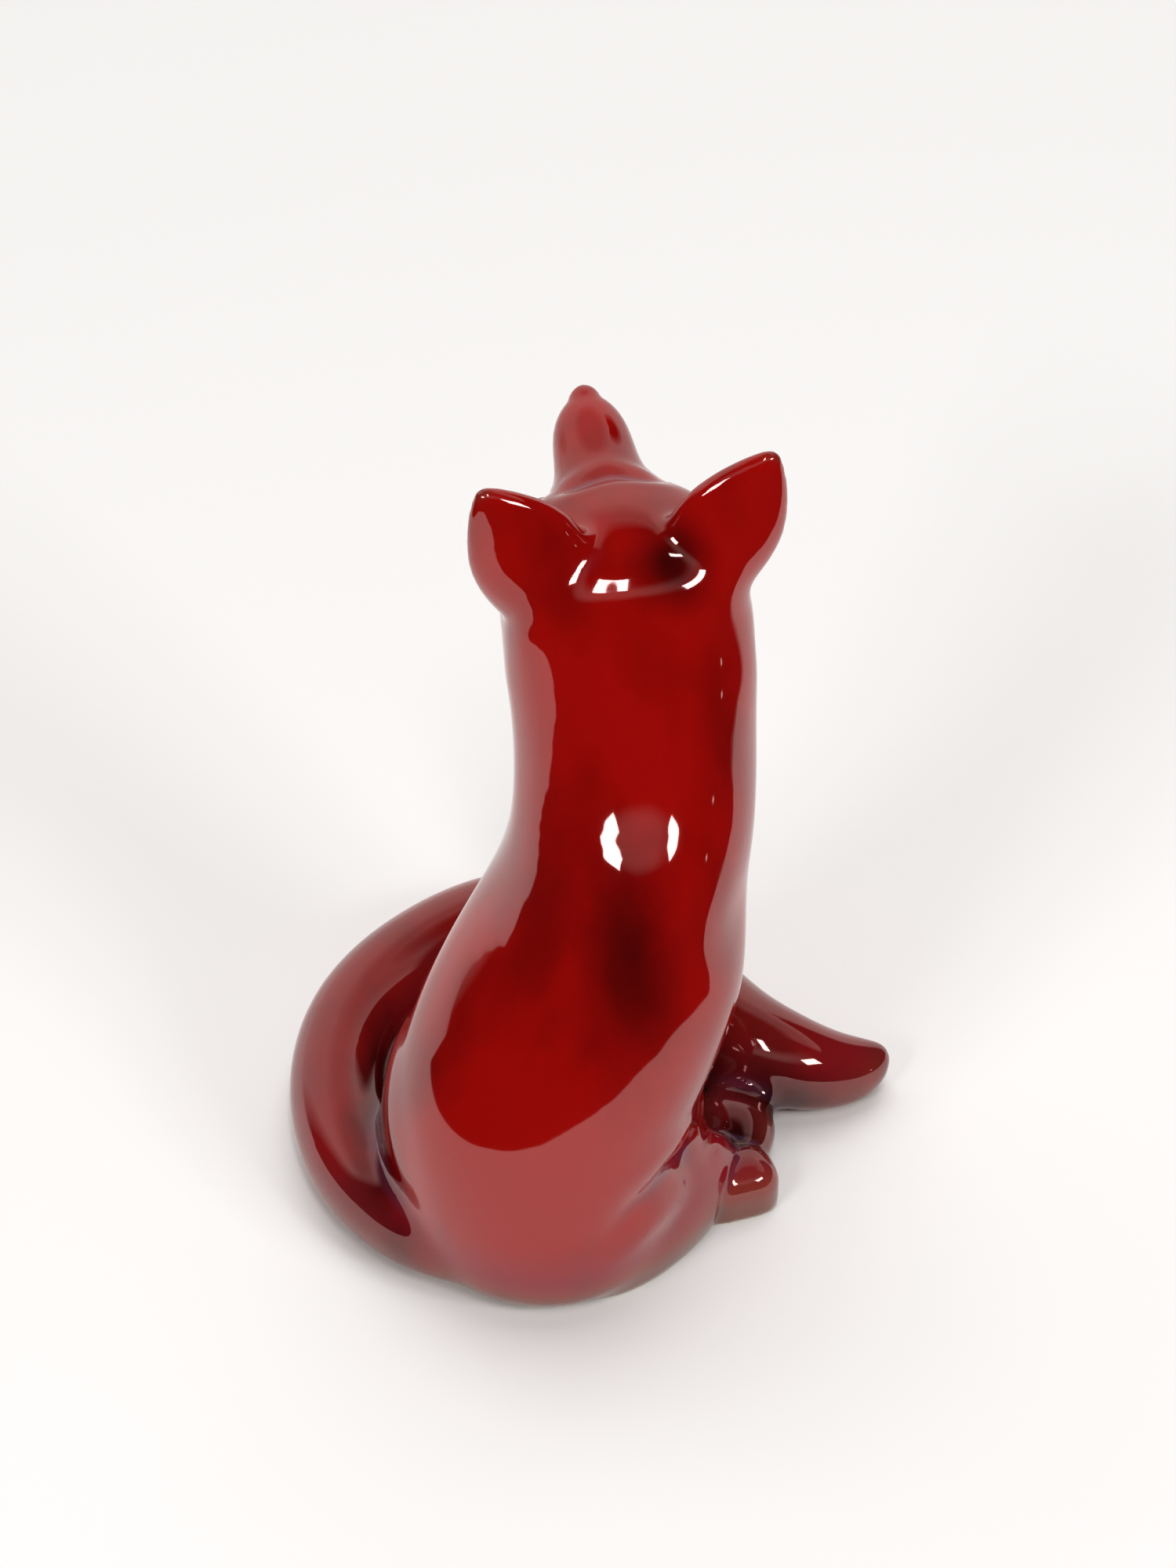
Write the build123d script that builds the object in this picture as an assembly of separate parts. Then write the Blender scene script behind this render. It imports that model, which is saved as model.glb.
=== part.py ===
from build123d import *
from collections import namedtuple
from math import cos, radians, sin, sqrt
import os

# Seated fox ornament, slip-cast and glazed ceramic, in millimetres.
# The chest looks along -Y, the fox's left side is +X, and it sits on the plane z = 0.

# Hollow castings of the body and head
wall = 4.0
floor_wall = 4.5
vent_radius = 1.7
vent_inset = 9.5

# Sitting form
rump_half_width = 17.5
shoulder_half_width = 14.3
rump_back = 25.6
chest_front = -30.0
collar_height = 73.0
collar_lean = 20.0
crown_height = 89.4

# Haunches
haunch_half_width = 9.6
haunch_half_length = 16.0
haunch_top = 30.0
haunch_spread = 9.6

# Face and muzzle
head_yaw = 10.5
head_pitch = 14.5
face_side = -7.5
face_set = -17.5
face_drop = 10.0
face_half_width = 12.4
muzzle_length = 27.5
muzzle_half_width = 5.5
nose_radius = 1.9
eye_radius = 1.5
eye_spacing = 14.6
eye_set = 11.7
eye_rise = 0.6

# Ears
ear_length = 18.0
ear_half_width = 7.2
ear_half_thickness = 3.3
ear_scoop_depth = 3.0
ear_rim = 1.8
ear_spacing = 16.6
ear_set = -1.2
ear_rise = 3.2
ear_splay = 29.0

# Tail
tail_root_radius = 5.8
tail_brush_radius = 7.3
tail_gap = 2.6
tail_front = -37.4
tail_tip_reach = -40.2

# Legs and feet
foreleg_radius = 4.4
foreleg_height = 55.0
foreleg_spacing = 9.6
foreleg_set = -18.6
foreleg_stagger = 3.2
forepaw_half_width = 5.0
forepaw_half_length = 8.0
forepaw_height = 6.2
hind_paw_half_width = 5.2
hind_paw_half_length = 7.8
hind_paw_height = 7.2
right_paw_out = 2.6
right_paw_set = -5.6
left_paw_in = 6.4
left_paw_set = -8.0
heel_length = 8.0
heel_height = 6.6
heel_rounding = 3.2
heel_set = 3.6
shank_half_length = 14.5
shank_half_width = 5.8
shank_height = 13.0
shank_out = 13.2
shank_set = 10.4
toe_groove = 0.6

Ring = namedtuple("Ring", "height middle back front half_width")

# Lines of the sitting form from the seat up to the nape, as (height, value)
nape_height = crown_height - 9.0
back_line = [
    (0.0, rump_back - 4.8), (3.5, rump_back - 1.4), (13.0, rump_back), (26.0, rump_back - 1.2),
    (38.0, rump_back - 5.6), (48.0, 14.8), (54.0, 10.6), (60.0, 5.6), (68.0, 1.2), (nape_height, -6.6),
]
front_line = [
    (0.0, -8.5), (6.0, -10.5), (20.0, -13.0), (34.0, -18.5),
    (48.0, chest_front + 5.6), (62.0, chest_front + 2.2), (nape_height, chest_front - 1.0),
]
middle_line = [
    (0.0, 1.7), (14.0, 2.2), (24.0, 1.0), (34.0, -2.9), (44.0, -6.7), (54.0, -8.6), (66.0, -8.6),
    (nape_height, -7.4),
]
width_line = [
    (0.0, 0.835 * rump_half_width), (4.0, 0.955 * rump_half_width), (14.0, rump_half_width),
    (26.0, 1.04 * rump_half_width), (34.0, 1.03 * rump_half_width), (43.0, 1.09 * shoulder_half_width),
    (53.0, 0.99 * shoulder_half_width), (65.0, shoulder_half_width), (75.0, 1.03 * shoulder_half_width),
    (nape_height, 0.98 * shoulder_half_width),
]


# Value at a height on a smooth line through its points
def on_line(points, height):
    last = len(points) - 2
    i = max(k for k in range(last + 1) if points[k][0] <= height)
    (h0, v0), (h1, v1) = points[i], points[i + 1]
    before, after = points[max(i - 1, 0)], points[min(i + 2, last + 1)]
    span = h1 - h0
    rise0 = span * (v1 - before[1]) / (h1 - before[0])
    rise1 = span * (after[1] - v0) / (after[0] - h0)
    t = (height - h0) / span
    rest = v0 + t * rise0 + t**2 * (3 * (v1 - v0) - 2 * rise0 - rise1)
    return rest + t**3 * (2 * (v0 - v1) + rise0 + rise1)


def ring_at(height):
    lines = (middle_line, back_line, front_line, width_line)
    return Ring(height, *[on_line(line, height) for line in lines])


ring_step = (nape_height - 9.0) / 10
rings = [ring_at(0.0), ring_at(3.5)] + [ring_at(9.0 + k * ring_step) for k in range(11)]
seat = ring_at(12.0)
neck = ring_at(collar_height)
nape = rings[-1]

# Rounded crown over the nape, its top a little forward
crown = []
for share in (0.5, 0.8, 0.94, 0.995):
    drawn_in = sqrt(1 - share**2)
    top = (nape.back + nape.front) / 2 - 1.5 * share
    depth = drawn_in * (nape.back - nape.front) / 2
    height = nape.height + share * (crown_height - nape.height)
    crown.append(Ring(height, nape.middle, top + depth, top - depth, drawn_in * nape.half_width))


def outline(ring, inset=0.0):
    depth = (ring.back - ring.front) / 2
    place = Pos(ring.middle, (ring.back + ring.front) / 2, ring.height)
    return place * Ellipse(ring.half_width - inset, depth - inset)


# A rounded lump standing on or in the ground, turned by yaw about z
def egg(x, y, z, half_width, half_length, half_height, yaw=0.0):
    unit = scale(Sphere(1), by=(half_width, half_length, half_height))
    return Pos(x, y, z) * Rot(0, 0, yaw) * unit


def above_ground(shape):
    return split(shape, bisect_by=Plane.XY, keep=Keep.TOP)


# Body: sitting form below the collar with a haunch on each side
form = loft([outline(ring) for ring in rings + crown])
collar = Plane(
    origin=(neck.middle, (neck.back + neck.front) / 2, collar_height),
    z_dir=(0, -sin(radians(collar_lean)), cos(radians(collar_lean))),
)


def haunch(side, y, yaw):
    middle = haunch_top / 2 - 0.5
    x = seat.middle + side * haunch_spread
    return egg(x, y, middle, haunch_half_width, haunch_half_length, haunch_top - middle, yaw)


torso = split(form, bisect_by=collar, keep=Keep.BOTTOM)
body_outer = above_ground(torso + haunch(1, 2.0, -6) + haunch(-1, -1.0, 12))

# Inside of the casting: the same outlines drawn in by the wall, from the floor to under the crown
lean_wall = 1.2 * wall
hollow = [outline(rings[1]._replace(height=floor_wall), 1.5 * wall)]
hollow += [outline(ring, lean_wall) for ring in rings[2::2]]
hollow.append(outline(crown[0]._replace(height=crown_height - 1.4 * wall), 1.5 * wall))
cavity = loft(hollow)
vent = Pos(seat.middle, rump_back - 4.8 - vent_inset, 0) * Cylinder(vent_radius, 3 * floor_wall)
body = body_outer - cavity - vent

# Head: crown of the form with the face and muzzle along the head's own axis
face_root = Vector(face_side, face_set, crown_height - face_drop)
ahead = Vector(
    cos(radians(head_pitch)) * sin(radians(head_yaw)),
    -cos(radians(head_pitch)) * cos(radians(head_yaw)),
    sin(radians(head_pitch)),
)
aside = Vector(cos(radians(head_yaw)), sin(radians(head_yaw)), 0)
upward = ahead.cross(aside)


def head_point(forward, left, up):
    return face_root + ahead * forward + aside * left + upward * up


def face_section(forward, up, half_width, half_height):
    plane = Plane(origin=head_point(forward, 0, up), x_dir=aside, z_dir=ahead)
    return plane * Ellipse(half_width, half_height)


face = loft([
    face_section(-2.0, -1.0, 0.92 * face_half_width, 8.4),
    face_section(5.0, -0.9, face_half_width, 8.8),
    face_section(10.5, -0.8, 0.76 * face_half_width, 7.2),
    face_section(15.0, -0.6, 1.06 * muzzle_half_width, 5.2),
    face_section(20.5, -0.3, 0.86 * muzzle_half_width, 4.1),
    face_section(muzzle_length - 2.6, 0.0, 0.60 * muzzle_half_width, 3.0),
    face_section(muzzle_length, 0.2, 0.8, 0.7),
])
nose = Pos(head_point(muzzle_length - 1.2, 0, 0.9)) * Sphere(nose_radius)
skull = form + face
head_outer = split(skull, bisect_by=collar, keep=Keep.TOP) + nose
for side in (-1, 1):
    head_outer += Pos(head_point(eye_set, side * eye_spacing / 2, eye_rise)) * Sphere(eye_radius)
head = head_outer - cavity


# Ears: flattened cones, scooped out in front and cut to sit on the skull
# Rows of the taper are shares of the length, the width and the thickness, the first one inside the skull
ear_taper = [
    (-0.45, 0.6, 0.9), (0, 0.9, 1), (0.35, 0.97, 0.9), (0.7, 0.66, 0.6), (0.92, 0.27, 0.32), (1, 0.08, 0.14),
]


def ear(side):
    root = head_point(ear_set, side * ear_spacing / 2, ear_rise - 0.4 * side)
    lean = radians(ear_splay)
    axis = aside * (side * sin(lean)) + Vector(0, 0, 1) * cos(lean)
    across = aside * (side * cos(lean)) - Vector(0, 0, 1) * sin(lean)

    def blade(margin, shift):
        sections = []
        for share, width, thick in ear_taper:
            middle = root + axis * (share * ear_length) + ahead * shift
            half_width = (ear_half_width - margin) * width
            plane = Plane(origin=middle, x_dir=across, z_dir=axis)
            sections.append(plane * Ellipse(half_width, ear_half_thickness * thick))
        return loft(sections)

    return blade(0, 0) - blade(ear_rim, ear_scoop_depth) - skull


left_ear = ear(1)
right_ear = ear(-1)

# Tail: a tapering brush from the rump round the left side and the front, its tip turned out
tail_side = seat.middle + rump_half_width + tail_gap + tail_root_radius - 1.4
tail_points = [
    (0.2 * tail_side, 13.0, 0.95 * tail_root_radius),
    (0.63 * tail_side, 12.4, tail_root_radius),
    (0.885 * tail_side, 4.2, 1.04 * tail_root_radius),
    (tail_side, -8.0, 1.08 * tail_root_radius),
    (0.93 * tail_side, 0.55 * tail_front, 1.12 * tail_root_radius),
    (0.62 * tail_side, 0.85 * tail_front, 0.93 * tail_brush_radius),
    (4.8, tail_front, 0.97 * tail_brush_radius),
    (-7.0, 0.89 * tail_front, tail_brush_radius),
    (-15.6, 0.63 * tail_front, tail_brush_radius),
    (0.56 * tail_tip_reach, -16.6, 0.94 * tail_brush_radius),
    (0.74 * tail_tip_reach, -14.4, 0.79 * tail_brush_radius),
    (0.89 * tail_tip_reach, -15.2, 0.57 * tail_brush_radius),
    (0.97 * tail_tip_reach, -16.2, 0.33 * tail_brush_radius),
    (tail_tip_reach, -16.6, 0.09 * tail_brush_radius),
]
tail_line = Spline(*[(x, y, 0) for x, y, radius in tail_points])
tail_sections = []
for x, y, radius in tail_points:
    lift = max(0.93 * radius, 5.0 - 0.4 * radius)
    along = tail_line.tangent_at(tail_line.param_at_point((x, y, 0)))
    tail_sections.append(Plane(origin=(x, y, lift), x_dir=(0, 0, 1), z_dir=along) * Circle(radius))
tail_tube = above_ground(loft(tail_sections))


# A paw: one low lump with open grooves between its toes, as deep as they are wide
def paw(x, y, yaw, half_width, half_length, height):
    middle = 0.42 * height
    rise = height - middle
    lump = egg(0, 0, middle, half_width, half_length, rise)
    core = egg(0, 0, middle, half_width - toe_groove, half_length - toe_groove, rise - toe_groove)
    for share in (-0.45, 0.0, 0.45):
        slot = Pos(share * half_width, -0.8 * half_length, middle) * Box(toe_groove, half_length, 3 * height)
        lump -= slot - core
    return above_ground(Pos(x, y, 0) * Rot(0, 0, yaw) * lump)


def foreleg(x, y, yaw):
    leg = loft([
        Pos(x, y + 1.0, 0.04 * foreleg_height) * Circle(0.92 * foreleg_radius),
        Pos(x, y + 0.6, 0.25 * foreleg_height) * Circle(0.88 * foreleg_radius),
        Pos(x, y + 0.2, 0.51 * foreleg_height) * Circle(1.05 * foreleg_radius),
        Pos(x, y + 1.0, 0.75 * foreleg_height) * Circle(1.28 * foreleg_radius),
        Pos(x, y + 5.0, foreleg_height) * Circle(0.90 * foreleg_radius),
    ])
    return leg + paw(x, y - 2.5, yaw, forepaw_half_width, forepaw_half_length, forepaw_height)


left_foreleg = foreleg(neck.middle + foreleg_spacing / 2, foreleg_set, -4) - body_outer
right_foreleg = foreleg(neck.middle - foreleg_spacing / 2, foreleg_set + foreleg_stagger, -10)
right_foreleg = right_foreleg - body_outer - left_foreleg


# A low block with rounded edges that stands on the ground
def rounded_block(x, y, yaw, width, length, height, rounding):
    block = fillet(Box(width, length, 2 * height).edges(), rounding)
    return above_ground(Pos(x, y, 0) * Rot(0, 0, yaw) * block)


# A rounded lump that stands on the ground and reaches up to its height
def mound(x, y, yaw, half_width, half_length, height):
    middle = 0.36 * height
    return above_ground(egg(x, y, middle, half_width, half_length, height - middle, yaw))


# Hind feet: the right one lies along the rump with its heel and shank, the left one is under the tail
foot_side = rump_half_width + 0.6 * hind_paw_half_width
hind_paw = (hind_paw_half_width, hind_paw_half_length, hind_paw_height)
right_paw_side = seat.middle - foot_side - right_paw_out
right_hind_foot = paw(right_paw_side, right_paw_set, -4, *hind_paw)
heel = (2 * hind_paw_half_width, heel_length, heel_height, heel_rounding)
right_hind_foot += rounded_block(right_paw_side, heel_set, 18, *heel)
shank_side = seat.middle - shank_out
right_hind_foot += mound(shank_side, shank_set, -40, shank_half_width, shank_half_length, shank_height)
right_hind_foot = right_hind_foot - body_outer - right_foreleg
left_hind_foot = paw(seat.middle + foot_side - left_paw_in, left_paw_set, 4, *hind_paw)
left_hind_foot = left_hind_foot - body_outer - left_foreleg

tail = tail_tube - body_outer - left_foreleg - right_foreleg - right_hind_foot - left_hind_foot

nodes = {
    "body": body,
    "head": head,
    "left_ear": left_ear,
    "right_ear": right_ear,
    "tail": tail,
    "left_foreleg": left_foreleg,
    "right_foreleg": right_foreleg,
    "left_hind_foot": left_hind_foot,
    "right_hind_foot": right_hind_foot,
}

os.makedirs("parts", exist_ok=True)
for name, shape in nodes.items():
    solids = sorted(shape.solids(), key=lambda solid: solid.volume)
    print(name, [round(solid.volume, 1) for solid in solids], solids[-1].is_valid)
    export_step(solids[-1], f"parts/{name}.step")
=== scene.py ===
import bpy
import bmesh
import math
import numpy as np
from mathutils import Matrix, Vector
from mathutils.bvhtree import BVHTree


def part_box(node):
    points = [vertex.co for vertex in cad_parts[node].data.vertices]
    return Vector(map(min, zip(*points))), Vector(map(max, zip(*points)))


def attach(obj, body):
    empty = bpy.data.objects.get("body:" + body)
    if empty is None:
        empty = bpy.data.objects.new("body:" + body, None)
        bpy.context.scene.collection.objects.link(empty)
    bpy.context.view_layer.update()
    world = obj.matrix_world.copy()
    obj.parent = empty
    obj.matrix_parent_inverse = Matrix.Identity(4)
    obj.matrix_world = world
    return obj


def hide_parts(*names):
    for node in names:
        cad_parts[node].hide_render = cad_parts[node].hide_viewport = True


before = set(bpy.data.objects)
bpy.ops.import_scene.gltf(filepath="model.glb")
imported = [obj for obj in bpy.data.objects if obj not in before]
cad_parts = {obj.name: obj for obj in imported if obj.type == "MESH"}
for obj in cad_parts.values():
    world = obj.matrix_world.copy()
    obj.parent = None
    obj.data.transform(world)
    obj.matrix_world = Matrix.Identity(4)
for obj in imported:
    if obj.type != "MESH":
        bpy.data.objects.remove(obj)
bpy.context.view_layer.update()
mm = 0.001
tiny = 1e-20  # least length to divide by
scene = bpy.context.scene
scene.view_settings.view_transform = "Standard"
pieceNames = sorted(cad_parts)

# camera behind and above the fox, at the photograph's angle
viewpoint = {
    "place": (-3.333, 541.821, 552.192),  # mm
    "tilt": 48.0,  # degrees up from looking straight down
    "turn": 180.0,
    "lens": 145.934,  # mm, on a 36 mm sensor along the long side of a 1500 x 2000 frame
    "nearest": 10.0,  # mm, what is nearer isn't drawn
}


def addCamera():
    data = bpy.data.cameras.new("photoCamera")
    data.lens = viewpoint["lens"]
    data.clip_start = viewpoint["nearest"] * mm
    eye = bpy.data.objects.new("photoCamera", data)
    eye.location = [mm * v for v in viewpoint["place"]]
    eye.rotation_euler = (math.radians(viewpoint["tilt"]), 0, math.radians(viewpoint["turn"]))
    scene.collection.objects.link(eye)
    scene.camera = eye


addCamera()
print("camera set")

# skin of the fired fox: the castings melted together under one coat of glaze
skin = {
    "grain": 0.36,  # size of its faces, mm
    "countedAt": 0.4,  # grain that the rounds for fillets, levelling and bend are counted for, mm
    "weld": 0.001,  # mm
    "ventPlace": (2.22, 11.3), "ventDepth": 2.4,  # mouth of the vent that stays open, mm
    "plugRadius": 2.6, "plugLength": 4.0, "plugSides": 32,
    "step": 0.6,  # how far a round of smoothing takes a point to the middle of its neighbours
    "stepBack": -0.62,  # and back when polishing, so that the fox doesn't shrink
    "polishRounds": 18,  # take the grain out
    "lastPolishRounds": 4,
    "fillet": 3.6,  # mm from a joint that the glaze rounds off
    "earFillet": 5.4,
    "filletEnd": 1.15,  # fillet's end, in its own widths from the joint
    "filletLook": 1.2,  # widths within which the next casting is looked for
    "filletFall": 1.2,
    "filletSpread": 8,
    "filletRounds": 70,
    "footing": 0.6,  # mm above the ground that keep their edge
    "haunch": {"foot": 2, "footFade": 4, "top": 38, "topFade": 8, "share": 0.9},  # is rounded like a joint, mm
    "rimBend": 0.12, "rimRange": 0.3,  # bend from which rims are rounded, and how much more till fully, per mm
    "rimLook": 3, "rimSpread": 4, "rimRounds": 10,
    "eased": [((-7.4, -20.3, 89.4), 6.0), ((-17.3, 4.5, 10.5), 3.5)],  # spots rubbed smooth, middle and reach, mm
    "levelled": [((-12.5, 16.0, 12.5), 4.5), ((-16.5, 8.0, 13.0), 3.0)],  # the same, once the folds are in
    "levelRounds": 40,
    "bendRounds": 14,
    "partReach": 6.0,  # mm within which a point's castings are looked for when the skin is parted
    "partEnds": 0.02,  # share of an edge that a cut keeps away from its ends
    "glossRounds": 5,  # the glaze levels the gloss
    "brushStart": 1.0, "brushFade": 4.0,  # mm off the tail at which its brown starts, and that it takes to be full
}


def roundsFor(count):
    return round(count * (skin["countedAt"] / skin["grain"]) ** 2)


def meltCastings():
    joined = bmesh.new()
    for name in pieceNames:
        joined.from_mesh(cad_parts[name].data)
    bmesh.ops.remove_doubles(joined, verts=joined.verts, dist=skin["weld"] * mm)
    x, y = skin["ventPlace"]
    plugMiddle = Matrix.Translation((mm * x, mm * y, mm * (skin["ventDepth"] + skin["plugLength"] / 2)))
    radius = skin["plugRadius"] * mm
    bmesh.ops.create_cone(joined, cap_ends=True, segments=skin["plugSides"], radius1=radius, radius2=radius,
                          depth=skin["plugLength"] * mm, matrix=plugMiddle)  # shuts the hollow inside off
    rough = bpy.data.meshes.new("melt")
    joined.to_mesh(rough)
    joined.free()
    holder = bpy.data.objects.new("melt", rough)
    scene.collection.objects.link(holder)
    melt = holder.modifiers.new("melt", "REMESH")
    melt.mode = "VOXEL"
    melt.voxel_size = skin["grain"] * mm
    done = bpy.data.meshes.new_from_object(holder.evaluated_get(bpy.context.evaluated_depsgraph_get()))
    bpy.data.objects.remove(holder)
    bpy.data.meshes.remove(rough)
    triangles = bmesh.new()
    triangles.from_mesh(done)
    bmesh.ops.triangulate(triangles, faces=triangles.faces)
    triangles.to_mesh(done)
    triangles.free()
    return done


def shapeArrays(mesh):
    points = np.empty(len(mesh.vertices) * 3)
    mesh.vertices.foreach_get("co", points)
    faces = np.empty(len(mesh.polygons) * 3, dtype=np.int64)
    mesh.polygons.foreach_get("vertices", faces)
    edges = np.empty(len(mesh.edges) * 2, dtype=np.int64)
    mesh.edges.foreach_get("vertices", edges)
    return points.reshape(-1, 3), faces.reshape(-1, 3), edges.reshape(-1, 2)


def outerShell(points, faces, edges):
    # drops the inside of the hollow castings, and specks between them
    label = np.arange(len(points))
    a, b = edges.T
    settled = False
    while not settled:
        low = np.minimum(label[a], label[b])
        fresh = label.copy()
        np.minimum.at(fresh, a, low)
        np.minimum.at(fresh, b, low)
        fresh = fresh[fresh]
        settled = np.array_equal(fresh, label)
        label = fresh
    keep = label == label[np.argmax(points[:, 2])]
    index = np.cumsum(keep) - 1
    return points[keep], index[faces[keep[faces[:, 0]]]], index[edges[keep[edges[:, 0]]]]


def shareOf(edges, n):
    # one over the number of each point's neighbours
    a, b = edges.T
    return 1 / np.maximum(np.bincount(a, minlength=n) + np.bincount(b, minlength=n), 1)


def pullOf(points, edges, share):
    # from each point to the middle of its neighbours
    a, b = edges.T
    n = len(points)
    total = np.empty_like(points)
    for k in range(3):
        total[:, k] = np.bincount(a, points[b, k], n) + np.bincount(b, points[a, k], n)
    return total * share[:, None] - points


def relax(points, edges, weight, rounds, step=skin["step"]):
    share = shareOf(edges, len(points))
    for _ in range(rounds):
        points = points + step * weight[:, None] * pullOf(points, edges, share)
    return points


def polish(points, edges, rounds):
    everywhere = np.ones(len(points))
    for step in (skin["step"], skin["stepBack"]) * rounds:
        points = relax(points, edges, everywhere, 1, step)
    return points


def spread(values, edges, rounds):
    return relax(np.repeat(values[:, None], 3, 1), edges, np.ones(len(values)), rounds)[:, 0]


def distancesTo(points, reach):
    # distance in mm from each point to each casting, and no more than reach
    table = np.full((len(points), len(pieceNames)), reach)
    for k, name in enumerate(pieceNames):
        shell = bmesh.new()
        shell.from_mesh(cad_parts[name].data)
        tree = BVHTree.FromBMesh(shell)
        shell.free()
        low, high = [np.array(corner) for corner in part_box(name)]
        close = np.all((points > low - reach * mm) & (points < high + reach * mm), axis=1)
        for i in np.nonzero(close)[0]:
            found = tree.find_nearest(Vector(points[i]), reach * mm)[3]
            if found is not None:
                table[i, k] = found / mm
    return table


def faceNormals(points, faces):
    a, b, c = points[faces.T]
    return np.cross(b - a, c - a)


def pointNormals(points, faces):
    across = faceNormals(points, faces)
    total = np.zeros_like(points)
    for k in range(3):
        for corner in range(3):
            total[:, k] += np.bincount(faces[:, corner], across[:, k], len(points))
    return total / np.maximum(np.linalg.norm(total, axis=1, keepdims=True), tiny)


def bendOf(points, faces, edges, rounds):
    # positive on ridges and rims, negative in creases, per mm
    n = len(points)
    a, b = edges.T
    share = shareOf(edges, n)
    size = np.linalg.norm(points[a] - points[b], axis=1)
    size = (np.bincount(a, size, n) + np.bincount(b, size, n)) * share
    raw = -(pullOf(points, edges, share) * pointNormals(points, faces)).sum(1) / size ** 2 * mm
    return spread(raw, edges, rounds)


# face: places on it are given forward along the muzzle, to the fox's left and up, mm from the root of the face
face = {
    "root": (-7.5, -17.5, 79.4),
    "yaw": 10.5, "pitch": 14.5,  # degrees
    "eye": (11.7, 7.3, 0.6), "eyeReach": (2.3, 1.55),
    "lidShift": (0.5, 0.6), "lidRun": (0.8, -0.6),  # forward and outwards: off the eye, and along its length
    "lidPoints": 12,
    "brow": [(9.8, 7.2, 4.0), (10.4, 4.0, 5.7), (11.6, 0.0, 6.0), (10.4, -4.0, 5.7), (9.8, -7.2, 4.0)],
    "mouth": [(27.2, 0.5, -1.1), (25, 2.5, -1.3), (21.5, 4.1, -1.9), (17.5, 5.0, -2.7), (14.5, 5.9, -3.3)],
    "nostril": (27.7, 0.9, 1.2),
}


def onHead(forward, left, up):
    yaw, pitch = math.radians(face["yaw"]), math.radians(face["pitch"])
    ahead = np.array((math.cos(pitch) * math.sin(yaw), -math.cos(pitch) * math.cos(yaw), math.sin(pitch)))
    aside = np.array((math.cos(yaw), math.sin(yaw), 0))
    return tuple(np.array(face["root"]) + forward * ahead + left * aside + up * np.cross(ahead, aside))


def eyeLine(side):
    forward, left, up = face["eye"]
    long, tall = face["eyeReach"]
    shiftAhead, shiftOut = face["lidShift"]
    runAhead, runOut = face["lidRun"]
    ring = []
    for k in range(face["lidPoints"] + 1):
        turn = 2 * math.pi * k / face["lidPoints"]
        reach = long * math.cos(turn)
        ring.append(onHead(forward + shiftAhead + runAhead * reach, side * (left + shiftOut + runOut * reach),
                           up + tall * math.sin(turn)))
    return ring


# folds that the modeller pressed in, or ridges where the depth is negative: a line of points, how wide and how deep,
# how high the swelling beside it is, all mm, and how fast its two ends fade
folds = {
    "thigh": {
        "line": [(-16.6, 6.5, 14.5), (-15.6, 10.3, 15.0), (-14.3, 14.0, 16.6), (-12.1, 18.1, 17.6),
                 (-9.0, 21.3, 16.8), (-5.8, 23.5, 14.3), (-2.4, 24.9, 13.4)],
        "width": 2.2, "depth": 1.0, "swell": 0.3, "fade": (8, 1.8),
    },
    "shank": {
        "line": [(-15.5, 10.6, 11.0), (-13.7, 14.5, 11.9), (-10.7, 19.5, 12.3), (-7.4, 22.4, 10.5),
                 (-3.9, 24.3, 9.2)],
        "width": 2.2, "depth": -0.5, "swell": 0.0, "fade": (5, 2),
    },
    "brow": {
        "line": [onHead(*place) for place in face["brow"]],
        "width": 1.1, "depth": 0.45, "swell": 0.2, "fade": (5, 5),
    },
}
swellAt = 2.4  # widths from a fold to the top of the swelling beside it

# soft swellings and dents under the glaze: middle, reach and height, mm, and a way if they don't rise straight
swells = {
    "leftEarRoot": {"middle": (4.5, -9.5, 80.5), "reach": (5.0, 4.5, 9.0), "height": 1.0},
    "leftEarBack": {"middle": (4.0, -9.5, 79.5), "reach": (6.0, 7.0, 10.0), "height": 4.0,
                    "way": (0.0, 0.74, 0.67)},
    "rightEarRoot": {"middle": (-18.5, -13.5, 84.0), "reach": (5.5, 5.0, 5.5), "height": 1.2},
    "withers": {"middle": (-10.0, 5.0, 57.2), "reach": (9.5, 14.0, 6.0), "height": 1.9},
    "rightWaist": {"middle": (-21.0, 4.0, 47.0), "reach": (6.0, 8.0, 5.0), "height": -0.6},
    "rightHaunch": {"middle": (-19.0, 9.0, 39.5), "reach": (6.0, 8.0, 6.0), "height": 0.5},
}
for side, word in ((1, "left"), (-1, "right")):
    mouth = [onHead(forward, side * left, up) for forward, left, up in face["mouth"]]
    folds[word + "Mouth"] = {"line": mouth, "width": 0.5, "depth": 0.4, "swell": 0.0, "fade": (20, 5)}
    folds[word + "Eyelid"] = {"line": eyeLine(side), "width": 0.5, "depth": 0.35, "swell": 0.12, "fade": (99, 99)}
    forward, left, up = face["nostril"]
    swells[word + "Nostril"] = {"middle": onHead(forward, side * left, up), "reach": (0.55, 0.55, 0.55),
                                "height": -0.4}


def distanceToLine(points, line):
    # how far each point is from the line, and what share of the line lies before the place nearest to it
    best = np.full(len(points), np.inf)
    along = np.zeros(len(points))
    corners = np.array(line, float)
    lengths = np.linalg.norm(np.diff(corners, axis=0), axis=1)
    before = np.concatenate([[0], np.cumsum(lengths)])
    for k in range(len(lengths)):
        run = corners[k + 1] - corners[k]
        t = np.clip(((points - corners[k]) @ run) / (run @ run), 0, 1)
        gap = np.linalg.norm(points - corners[k] - t[:, None] * run, axis=1)
        nearer = gap < best
        best[nearer] = gap[nearer]
        along[nearer] = ((before[k] + t * lengths[k]) / before[-1])[nearer]
    return best, along


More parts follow.
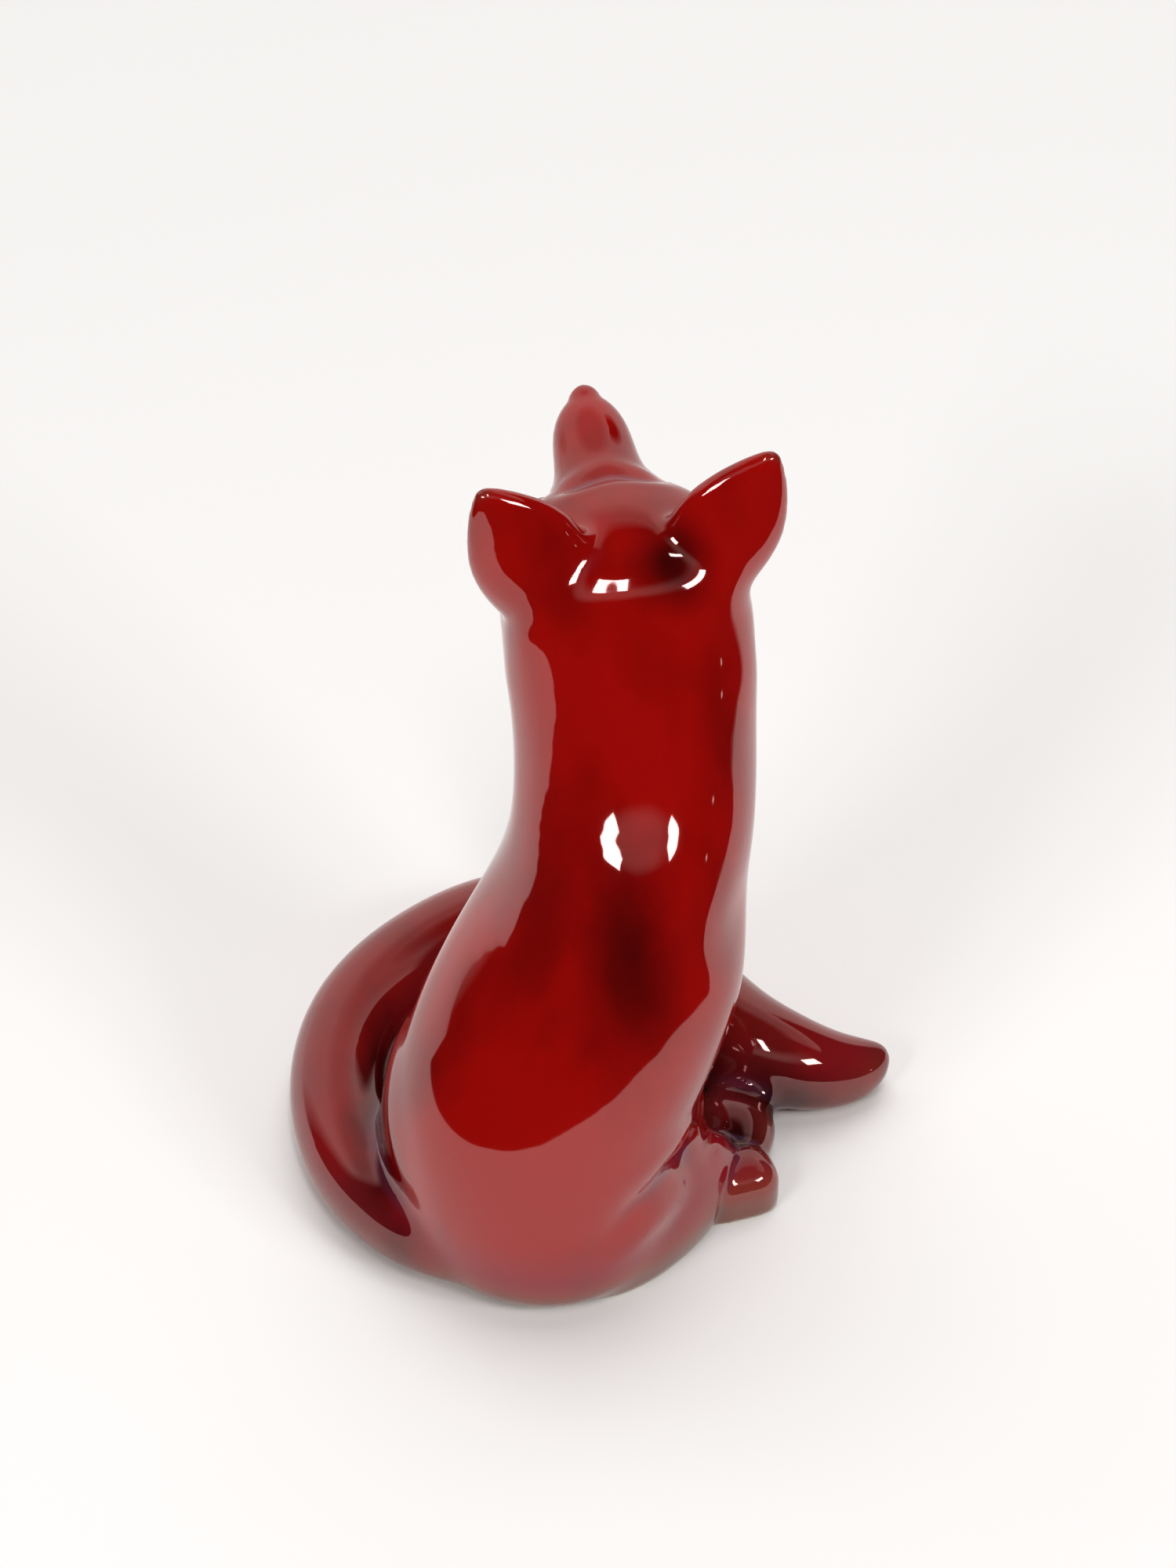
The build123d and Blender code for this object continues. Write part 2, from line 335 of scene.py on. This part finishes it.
def modelForms(points, normals):
    moved = points / mm
    for fold in folds.values():
        line = [moved[np.argmin(((moved - corner) ** 2).sum(1))] for corner in np.array(fold["line"])]
        gap, along = distanceToLine(moved, line)
        start, end = fold["fade"]
        fade = np.clip(start * along, 0, 1) * np.clip(end * (1 - along), 0, 1)
        dip = np.exp(-(gap / fold["width"]) ** 2) * fold["depth"]
        rim = np.exp(-((gap - swellAt * fold["width"]) / fold["width"]) ** 2) * fold["swell"]
        moved = moved + normals * ((rim - dip) * fade)[:, None]
    for swell in swells.values():
        away = (points / mm - np.array(swell["middle"])) / np.array(swell["reach"])
        rise = normals
        if "way" in swell:
            rise = np.outer(np.clip(normals @ np.array(swell["way"]), 0, 1), swell["way"])
        moved = moved + rise * (swell["height"] * np.exp(-(away ** 2).sum(1)))[:, None]
    return moved * mm


def closeTo(points, spots):
    near = np.zeros(len(points))
    for middle, reach in spots:
        near = np.maximum(near, np.exp(-(((points / mm - middle) / reach) ** 2).sum(1)))
    return near


def filletWeights(points, edges):
    # one at the joints, nought past the fillets
    table = distancesTo(points, skin["filletLook"] * skin["earFillet"])
    owner = np.argmin(table, axis=1)
    widths = np.array([skin["earFillet" if "ear" in name.split("_") else "fillet"] for name in pieceNames])
    second = np.partition(table / np.maximum(widths[owner][:, None], widths), 1, axis=1)[:, 1]
    weight = np.clip(skin["filletEnd"] - second, 0, 1) ** skin["filletFall"]
    weight = np.maximum(weight, closeTo(points, skin["eased"]))
    haunch = skin["haunch"]
    height = points[:, 2] / mm
    low = np.clip((haunch["top"] - height) / haunch["topFade"], 0, 1)
    low = low * np.clip((height - haunch["foot"]) / haunch["footFade"], 0, 1)
    onBody = owner == pieceNames.index("body")
    weight = np.maximum(weight, haunch["share"] * low * onBody)
    weight = spread(weight, edges, skin["filletSpread"])
    weight[points[:, 2] < skin["footing"] * mm] = 0
    return weight


def makeSkin():
    mesh = meltCastings()
    points, faces, edges = outerShell(*shapeArrays(mesh))
    bpy.data.meshes.remove(mesh)
    points = polish(points, edges, skin["polishRounds"])
    print("skin melted:", len(points), "points")
    points = relax(points, edges, filletWeights(points, edges), roundsFor(skin["filletRounds"]))
    sharp = bendOf(points, faces, edges, skin["rimLook"])
    rims = np.clip((sharp - skin["rimBend"]) / skin["rimRange"], 0, 1)
    points = relax(points, edges, spread(rims, edges, skin["rimSpread"]), skin["rimRounds"])
    points = modelForms(points, pointNormals(points, faces))
    points = relax(points, edges, closeTo(points, skin["levelled"]), roundsFor(skin["levelRounds"]))
    points = polish(points, edges, skin["lastPolishRounds"])
    points[:, 2] = np.maximum(points[:, 2], 0)
    return points, faces, bendOf(points, faces, edges, roundsFor(skin["bendRounds"]))


skinPoints, skinFaces, skinBend = makeSkin()
print("skin finished:", len(skinFaces), "faces")


def faceEdges(faces):
    return np.concatenate([faces[:, [0, 1]], faces[:, [1, 2]], faces[:, [2, 0]]])


def cutSkin():
    # one shell for each casting, parted where two castings are equally near
    table = distancesTo(skinPoints, skin["partReach"])
    owner = np.argmin(table, axis=1)
    solid = bmesh.new()
    verts = [solid.verts.new(p) for p in skinPoints]
    solid.verts.index_update()
    for tri in skinFaces:
        solid.faces.new([verts[i] for i in tri])
    solid.edges.index_update()
    crossing = [e for e in solid.edges if owner[e.verts[0].index] != owner[e.verts[1].index]]
    blends = []
    for edge in crossing:
        first, last = edge.verts
        i, j = first.index, last.index
        a, b = owner[i], owner[j]
        here, there = table[i, a] - table[i, b], table[j, a] - table[j, b]
        t = here / (here - there) if here != there else 0.5
        t = min(max(t, skin["partEnds"]), 1 - skin["partEnds"])
        blends.append((i, j, t))
        bmesh.utils.edge_split(edge, first, t)
    solid.verts.ensure_lookup_table()
    solid.verts.index_update()
    n = len(skinPoints)
    fresh = [v for v in solid.verts if v.index >= n]
    bmesh.ops.connect_verts(solid, verts=fresh)
    bmesh.ops.triangulate(solid, faces=[f for f in solid.faces if len(f.verts) > 3])
    solid.verts.index_update()
    points = np.array([v.co for v in solid.verts])
    faces = np.array([[v.index for v in f.verts] for f in solid.faces])
    solid.free()
    longOwner = np.concatenate([owner, np.full(len(points) - n, -1)])
    faceOwner = longOwner[faces].max(axis=1)
    normals = relax(pointNormals(points, faces), faceEdges(faces), np.ones(len(points)), skin["glossRounds"])
    normals /= np.linalg.norm(normals, axis=1, keepdims=True)
    tail = pieceNames.index("tail")
    others = np.delete(table, tail, axis=1).min(axis=1)
    brush = np.clip((others - table[:, tail] + skin["brushStart"]) / skin["brushFade"], 0, 1)
    values = {}
    for name, value in (("bend", skinBend), ("brush", brush)):
        values[name] = np.concatenate([value, [value[i] * (1 - t) + value[j] * t for i, j, t in blends]])
    return points, faces, faceOwner, normals, values


def loopsOf(faces):
    # open edges in the order of their faces, chained to loops
    known = set(map(tuple, faceEdges(faces).tolist()))
    onward = {}
    for a, b in known:
        if (b, a) not in known:
            onward.setdefault(a, []).append(b)
    loops = []
    while onward:
        start = next(iter(onward))
        loop, at = [start], start
        while at in onward:
            nextOne = onward[at].pop()
            if not onward[at]:
                del onward[at]
            at = nextOne
            if at == start:
                break
            loop.append(at)
        loops.append(loop)
    return loops


cutPoints, cutFaces, cutOwner, cutNormals, cutValues = cutSkin()
print("skin parted:", len(cutFaces), "faces")


def linear(hexColour):
    channels = [int(hexColour[i:i + 2], 16) / 255 for i in (1, 3, 5)]
    return (*[c / 12.92 if c <= 0.04045 else ((c + 0.055) / 1.055) ** 2.4 for c in channels], 1)


def addNode(tree, kind, links=None, stops=(), **settings):
    made = tree.nodes.new(kind)
    for name, value in settings.items():
        setattr(made, name, value)
    for key, value in (links or {}).items():
        socket = made.inputs[key]
        if isinstance(value, bpy.types.NodeSocket):
            tree.links.new(value, socket)
        else:
            socket.default_value = value
    if stops:
        row = made.color_ramp.elements
        while len(row) < len(stops):
            row.new(0.5)
        for element, (place, colour) in zip(row, stops):
            element.position, element.color = place, colour
    return made


# flambe glaze: a copper red that ran in the kiln, deep and wet looking, with soft black clouds where it lies thick,
# brown where it drew thin over the rims, and a faint violet bloom in the hollows; painted shade darkens the deepest
# creases and the gaps by the tail and the right hind paw, a painted reflection darkens the back, and the grey-brown
# near the ground is partly a painted reflection of the floor
glaze = {
    "red": "#9E0906", "deepRed": "#7C0503", "brown": "#6C120D", "cloudAndShadeBlack": "#160102", "thin": "#6B2F28",
    "bloom": "#4E3550", "lowEdge": "#6A5546", "biscuit": "#B9A48C", "shine": "#FFCFCB",
    "cloudsAndShade": [  # middle and reach of the black clouds that show in the photograph, mm, and how dark they are; some of them are painted shade and a painted reflection, as marked
        # painted reflection of the dark room and the photographer, darkening the back
        ((-8.4, 13.0, 49.5), (6.4, 14.0, 19.0), 0.74),
        ((-12.4, -13.0, 87.0), (4.6, 6.5, 5.5), 0.88),
        # painted shade in the gap between the right hind paw, the rump and the tail tip, and on the tip's near side
        ((-26.5, -8.0, 4.0), (13.0, 4.5, 5.5), 1.0),
        ((-21.0, -1.5, 5.5), (6.0, 5.0, 6.0), 1.0),
        # painted shade on the inner side of the tail, between it and the body
        ((21.5, -3.0, 9.5), (4.0, 17.0, 6.0), 1.0),
        ((18.0, 10.0, 6.0), (4.0, 11.0, 6.0), 1.0),
        ((20.0, 6.0, 13.0), (4.0, 15.0, 7.0), 1.0),
        ((4.0, -14.0, 44.0), (7.0, 12.0, 16.0), 0.6),
    ],
    "frayOfCloudAndShade": -1.3, "edgeOfCloudAndShade": (0.75, -0.7),  # how ragged the clouds and the painted shade are, and where they start and are full
    "driftSize": 16.0,  # mm, slow changes of the red
    "driftDeep": 0.32, "driftRed": 0.55,  # where in that pattern the red is deep, and where it is plain
    "frayPatchSize": 11.0,  # mm, patches that fray the clouds and the painted shade
    "waveSize": 8.0, "waveHeight": 0.3, "waveStrength": 0.1,  # mm, slow waves in the gloss
    "runLength": 2.0,  # patterns are this much longer downwards
    "brownDrift": (0.65, 0.35), "brownLeast": 0.55,  # where the tail's brown is least and full, and its least share
    "thinBend": (0.16, 0.5), "thinShare": 0.75,  # bend, per mm, at which rims are thin
    "poolBend": -0.3,  # bend of the deepest hollows, per mm
    # violet where the glaze pools in the hollows, and painted shade going to black in the deepest creases
    "poolsAndCreaseShade": [(0.06, "bloom", 0.0), (0.3, "bloom", 0.5), (0.7, "cloudAndShadeBlack", 0.65), (1.0, "cloudAndShadeBlack", 0.9)],
    "lowHeight": 14.0,  # mm, up to where the colour changes near the ground, partly thinner glaze and partly a painted reflection of the floor
    "lows": [(0.0, "lowEdge", 0.85), (0.2, "lowEdge", 0.68), (0.36, "lowEdge", 0.34), (0.55, "bloom", 0.24),
             (1.0, "bloom", 0.0)],
    "tailLow": 0.45,  # share of that change on the tail
    "raggedSize": 3.0, "raggedRise": -1.2, "footEdge": (0.1, -0.5),  # mm, edge of the unglazed foot
    "wetRoughness": 0.05, "dryRoughness": 0.7, "ior": 1.9,
}


def faded(stops):
    return [(place, (*linear(glaze[name])[:3], share)) for place, name, share in stops]


def flambeGlaze():
    made = bpy.data.materials.new("flambe-glazed earthenware")
    made.use_nodes = True
    tree = made.node_tree
    tree.nodes.clear()
    place = addNode(tree, "ShaderNodeTexCoord").outputs["Object"]
    height = addNode(tree, "ShaderNodeSeparateXYZ", {"Vector": place}).outputs["Z"]
    bend = addNode(tree, "ShaderNodeAttribute", attribute_name="bend").outputs["Fac"]
    brush = addNode(tree, "ShaderNodeAttribute", attribute_name="brush").outputs["Fac"]
    runs = addNode(tree, "ShaderNodeMapping", {
        "Vector": place, "Scale": (1, 1, 1 / glaze["runLength"])}).outputs["Vector"]
    # red, browner on the tail
    drift = addNode(tree, "ShaderNodeTexNoise", {
        "Vector": runs, "Scale": 1 / (glaze["driftSize"] * mm), "Detail": 3.0, "Roughness": 0.5})
    red = addNode(tree, "ShaderNodeValToRGB", {"Fac": drift.outputs["Fac"]}, stops=[
        (glaze["driftDeep"], linear(glaze["deepRed"])), (glaze["driftRed"], linear(glaze["red"]))])
    start, full = glaze["brownDrift"]
    uneven = addNode(tree, "ShaderNodeMapRange", {
        "Value": drift.outputs["Fac"], "From Min": start, "From Max": full, "To Min": glaze["brownLeast"]})
    burnt = addNode(tree, "ShaderNodeMath", {0: brush, 1: uneven.outputs["Result"]}, operation="MULTIPLY")
    browned = addNode(tree, "ShaderNodeMix", {
        "Factor": burnt.outputs["Value"], "A": red.outputs["Color"], "B": linear(glaze["brown"])}, data_type="RGBA")
    # black clouds, with painted shade and a painted reflection laid in the same way
    patches = addNode(tree, "ShaderNodeTexNoise", {
        "Vector": runs, "Scale": 1 / (glaze["frayPatchSize"] * mm), "Detail": 4.0, "Roughness": 0.55, "Distortion": 0.3})
    start, full = glaze["edgeOfCloudAndShade"]
    darkCloudAndShade = 0.0
    for middle, reach, strength in glaze["cloudsAndShade"]:
        shrink = [1 / (mm * r) for r in reach]
        local = addNode(tree, "ShaderNodeMapping", {
            "Vector": place, "Scale": shrink, "Location": [-mm * c * s for c, s in zip(middle, shrink)]})
        far = addNode(tree, "ShaderNodeVectorMath", {0: local.outputs["Vector"]}, operation="LENGTH")
        frayed = addNode(tree, "ShaderNodeMath", {
            0: patches.outputs["Fac"], 1: glaze["frayOfCloudAndShade"], 2: far.outputs["Value"]}, operation="MULTIPLY_ADD")
        spot = addNode(tree, "ShaderNodeMapRange", {
            "Value": frayed.outputs["Value"], "From Min": start, "From Max": full, "To Max": strength},
            interpolation_type="SMOOTHSTEP")
        darker = addNode(tree, "ShaderNodeMath", {0: darkCloudAndShade, 1: spot.outputs["Result"]}, operation="MAXIMUM")
        darkCloudAndShade = darker.outputs["Value"]
    cloudedAndShaded = addNode(tree, "ShaderNodeMix", {
        "Factor": darkCloudAndShade, "A": browned.outputs["Result"], "B": linear(glaze["cloudAndShadeBlack"])}, data_type="RGBA")
    # thin on the rims, pooled in the hollows, with painted shade going to black in the deepest creases
    start, full = glaze["thinBend"]
    thin = addNode(tree, "ShaderNodeMapRange", {
        "Value": bend, "From Min": start, "From Max": full, "To Max": glaze["thinShare"]},
        interpolation_type="SMOOTHSTEP")
    rimmed = addNode(tree, "ShaderNodeMix", {
        "Factor": thin.outputs["Result"], "A": cloudedAndShaded.outputs["Result"], "B": linear(glaze["thin"])},
        data_type="RGBA")
    deep = addNode(tree, "ShaderNodeMapRange", {"Value": bend, "From Min": 0.0, "From Max": glaze["poolBend"]})
    poolAndShade = addNode(tree, "ShaderNodeValToRGB", {"Fac": deep.outputs["Result"]}, stops=faded(glaze["poolsAndCreaseShade"]))
    pooledAndShaded = addNode(tree, "ShaderNodeMix", {
        "Factor": poolAndShade.outputs["Alpha"], "A": rimmed.outputs["Result"], "B": poolAndShade.outputs["Color"]},
        data_type="RGBA")
    # grey-brown near the ground, partly thinner glaze and partly a painted reflection of the floor, but the black
    # clouds and the painted shade run down to it
    rise = addNode(tree, "ShaderNodeMapRange", {"Value": height, "From Max": glaze["lowHeight"] * mm})
    low = addNode(tree, "ShaderNodeValToRGB", {"Fac": rise.outputs["Result"]}, stops=faded(glaze["lows"]))
    held = addNode(tree, "ShaderNodeMapRange", {"Value": brush, "To Min": 1.0, "To Max": glaze["tailLow"]})
    lowHeld = addNode(tree, "ShaderNodeMath", {
        0: low.outputs["Alpha"], 1: held.outputs["Result"]}, operation="MULTIPLY")
    clear = addNode(tree, "ShaderNodeMath", {0: 1.0, 1: darkCloudAndShade}, operation="SUBTRACT")
    lowShare = addNode(tree, "ShaderNodeMath", {
        0: lowHeld.outputs["Value"], 1: clear.outputs["Value"]}, operation="MULTIPLY")
    lowered = addNode(tree, "ShaderNodeMix", {
        "Factor": lowShare.outputs["Value"], "A": pooledAndShaded.outputs["Result"], "B": low.outputs["Color"]},
        data_type="RGBA")
    # bare, dry biscuit at the foot
    ragged = addNode(tree, "ShaderNodeTexNoise", {
        "Vector": place, "Scale": 1 / (glaze["raggedSize"] * mm), "Detail": 2.0})
    lifted = addNode(tree, "ShaderNodeMath", {
        0: ragged.outputs["Fac"], 1: glaze["raggedRise"] * mm, 2: height}, operation="MULTIPLY_ADD")
    start, full = glaze["footEdge"]
    foot = addNode(tree, "ShaderNodeMapRange", {
        "Value": lifted.outputs["Value"], "From Min": start * mm, "From Max": full * mm})
    footed = addNode(tree, "ShaderNodeMix", {
        "Factor": foot.outputs["Result"], "A": lowered.outputs["Result"], "B": linear(glaze["biscuit"])},
        data_type="RGBA")
    dry = addNode(tree, "ShaderNodeMapRange", {
        "Value": foot.outputs["Result"], "To Min": glaze["wetRoughness"], "To Max": glaze["dryRoughness"]})
    # the gloss, in slow waves
    waves = addNode(tree, "ShaderNodeTexNoise", {
        "Vector": place, "Scale": 1 / (glaze["waveSize"] * mm), "Detail": 1.0})
    bump = addNode(tree, "ShaderNodeBump", {
        "Height": waves.outputs["Fac"], "Strength": glaze["waveStrength"], "Distance": glaze["waveHeight"] * mm})
    gloss = addNode(tree, "ShaderNodeBsdfPrincipled", {
        "Base Color": footed.outputs["Result"], "Roughness": dry.outputs["Result"], "IOR": glaze["ior"],
        "Specular Tint": linear(glaze["shine"]), "Normal": bump.outputs["Normal"]})
    addNode(tree, "ShaderNodeOutputMaterial", {"Surface": gloss.outputs["BSDF"]})
    return made


glazeMaterial = flambeGlaze()
print("glaze mixed")


def addPiece(k, name):
    faces = cutFaces[cutOwner == k]
    used = np.unique(faces)
    index = np.full(len(cutPoints), -1)
    index[used] = np.arange(len(used))
    points, normals = cutPoints[used], cutNormals[used]
    faces = index[faces]
    lids = []  # close the piece where it meets the next ones
    extra = []
    for loop in loopsOf(faces):
        hub = len(points) + len(extra)
        extra.append(points[loop].mean(axis=0))
        lids += [(b, a, hub) for a, b in zip(loop, loop[1:] + loop[:1])]
    if extra:
        points = np.concatenate([points, extra])
    mesh = bpy.data.meshes.new(name)
    mesh.from_pydata(points.tolist(), [], faces.tolist() + lids)
    for label, value in cutValues.items():
        full = np.concatenate([value[used], np.zeros(len(extra))]).astype(np.float32)
        mesh.attributes.new(label, "FLOAT", "POINT").data.foreach_set("value", full)
    mesh.polygons.foreach_set("use_smooth", np.array([True] * len(faces) + [False] * len(lids)))
    smooth = normals[faces.reshape(-1)]
    if lids:
        flat = faceNormals(points, np.array(lids))
        flat /= np.maximum(np.linalg.norm(flat, axis=1, keepdims=True), tiny)
        smooth = np.concatenate([smooth, np.repeat(flat, 3, axis=0)])
    mesh.normals_split_custom_set(smooth.tolist())
    mesh.materials.append(glazeMaterial)
    piece = bpy.data.objects.new("fox." + name, mesh)
    scene.collection.objects.link(piece)
    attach(piece, "root")
    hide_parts(name)
    print("piece:", name, len(mesh.polygons), "faces,", len(lids), "in its seats")


for k, name in enumerate(pieceNames):
    addPiece(k, name)

# floor: a pale cloth under the fox, whose outline shows in the gloss, and a table of the same colour around it
floor = {
    "colour": "#FAFAF9",
    "cloth": [(-230, -700), (-230, -40), (-130, 20), (-125, 90), (-99, 169), (-16, 284), (162, 370), (270, 260),
              (235, 60), (212, -62), (900, -303), (900, -700)],  # mm
    "beyond": 4000,  # mm
    "clothDrop": 0.05, "tableDrop": 0.06,  # mm under the fox
}


def paleCloth():
    made = bpy.data.materials.new("bleached linen")
    made.use_nodes = True
    tree = made.node_tree
    tree.nodes.clear()
    matt = addNode(tree, "ShaderNodeBsdfDiffuse", {"Color": linear(floor["colour"])})
    addNode(tree, "ShaderNodeOutputMaterial", {"Surface": matt.outputs["BSDF"]})
    return made


def addFloor():
    linen = paleCloth()
    wide = floor["beyond"]
    square = [(-wide, -wide), (wide, -wide), (wide, wide), (-wide, wide)]
    for name, outline in (("cloth", floor["cloth"][::-1]), ("table", square)):
        mesh = bpy.data.meshes.new(name)
        drop = floor[name + "Drop"]
        mesh.from_pydata([(mm * x, mm * y, -mm * drop) for x, y in outline], [], [list(range(len(outline)))])
        mesh.materials.append(linen)
        sheet = bpy.data.objects.new(name, mesh)
        scene.collection.objects.link(sheet)
        sheet.visible_glossy = name == "cloth"  # the glaze mirrors only the cloth, and the dim room past it


addFloor()

# lamps: a soft one that only lights, and windows, a ceiling and a doorway that also show in the gloss, m and W
lamps = {
    "overhead": {"place": (0.0, -0.4, 1.4), "size": (1.1, 1.1), "power": 9.0, "seen": False},
    "windowLeft": {"place": (0.66, 0.90, 0.86), "size": (0.44, 0.21), "power": 5.1, "seen": True},
    "windowRight": {"place": (-0.87, 0.68, 0.86), "size": (0.44, 0.21), "power": 5.1, "seen": True},
    "ceiling": {"place": (-0.06, 0.70, 1.21), "size": (0.1, 0.44), "power": 3.1, "seen": True},
    "doorway": {"place": (-1.37, 0.29, 0.10), "size": (0.03, 0.05), "power": 0.02, "seen": True},
}
lampAim = (0, 0, 0.04)  # the middle of the fox


def addLamps():
    for name, lamp in lamps.items():
        data = bpy.data.lights.new(name, "AREA")
        data.shape = "RECTANGLE"
        data.size, data.size_y = lamp["size"]
        data.energy = lamp["power"]
        made = bpy.data.objects.new(name, data)
        made.location = lamp["place"]
        beam = Vector(lampAim) - Vector(lamp["place"])
        made.rotation_euler = beam.to_track_quat("-Z", "Y").to_euler()
        made.visible_glossy = lamp["seen"]
        made.visible_camera = False
        scene.collection.objects.link(made)


addLamps()

# room that the gloss mirrors: dim, with a pale wall past the fox's face and a soft glow between the windows;
# each edge has the way that it runs, where it starts, where the light is full, and the share left before its start
room = {
    "dim": "#1E1C1C", "pale": "#EFE6E2",
    "wall": {"share": 1.0, "fall": "LINEAR", "edges": [
        ("Y", 0.0, -0.12, 0), ("leaning", -0.79, -0.72, 0), ("X", 0.92, 0.78, 0), ("Z", 0.93, 0.85, 0),
        ("Z", 0.78, 0.64, 0.55)]},
    "glow": {"share": 0.55, "fall": "SMOOTHSTEP", "edges": [
        ("Y", 0.1, 0.3, 0), ("X", -0.75, -0.25, 0), ("X", 0.75, 0.25, 0), ("Z", 0.5, 0.66, 0), ("Z", 0.85, 0.7, 0)]},
    "lean": -0.6,  # the wall's edge at the fox's right leans in by this much of its height
    "stepFrom": 0.63, "stepTo": 0.69, "stepOut": 0.5,  # and steps out between these heights
}


def addRoom():
    made = bpy.data.worlds.new("room")
    made.use_nodes = True
    tree = made.node_tree
    tree.nodes.clear()
    way = addNode(tree, "ShaderNodeTexCoord").outputs["Generated"]
    parts = addNode(tree, "ShaderNodeSeparateXYZ", {"Vector": way}).outputs
    upper = addNode(tree, "ShaderNodeMapRange", {
        "Value": parts["Z"], "From Min": room["stepFrom"], "From Max": room["stepTo"]})
    slant = addNode(tree, "ShaderNodeMath", {
        0: parts["Z"], 1: room["lean"], 2: parts["X"]}, operation="MULTIPLY_ADD")
    leaning = addNode(tree, "ShaderNodeMath", {
        0: upper.outputs["Result"], 1: room["stepOut"], 2: slant.outputs["Value"]}, operation="MULTIPLY_ADD")
    ways = {"X": parts["X"], "Y": parts["Y"], "Z": parts["Z"], "leaning": leaning.outputs["Value"]}
    shares = []
    for light in (room["wall"], room["glow"]):
        share = light["share"]
        for side, start, full, least in light["edges"]:
            edge = addNode(tree, "ShaderNodeMapRange", {
                "Value": ways[side], "From Min": start, "From Max": full, "To Min": least},
                interpolation_type=light["fall"])
            lit = addNode(tree, "ShaderNodeMath", {0: share, 1: edge.outputs["Result"]}, operation="MULTIPLY")
            share = lit.outputs["Value"]
        shares.append(share)
    pale = addNode(tree, "ShaderNodeMath", dict(enumerate(shares)), operation="MAXIMUM")
    tone = addNode(tree, "ShaderNodeMix", {
        "Factor": pale.outputs["Value"], "A": linear(room["dim"]), "B": linear(room["pale"])}, data_type="RGBA")
    seen = addNode(tree, "ShaderNodeLightPath").outputs["Is Camera Ray"]
    shown = addNode(tree, "ShaderNodeMix", {
        "Factor": seen, "A": tone.outputs["Result"], "B": linear(floor["colour"])}, data_type="RGBA")
    sky = addNode(tree, "ShaderNodeBackground", {"Color": shown.outputs["Result"], "Strength": 1.0})
    addNode(tree, "ShaderNodeOutputWorld", {"Surface": sky.outputs["Background"]})
    scene.world = made


addRoom()
print("floor, lamps and room set")
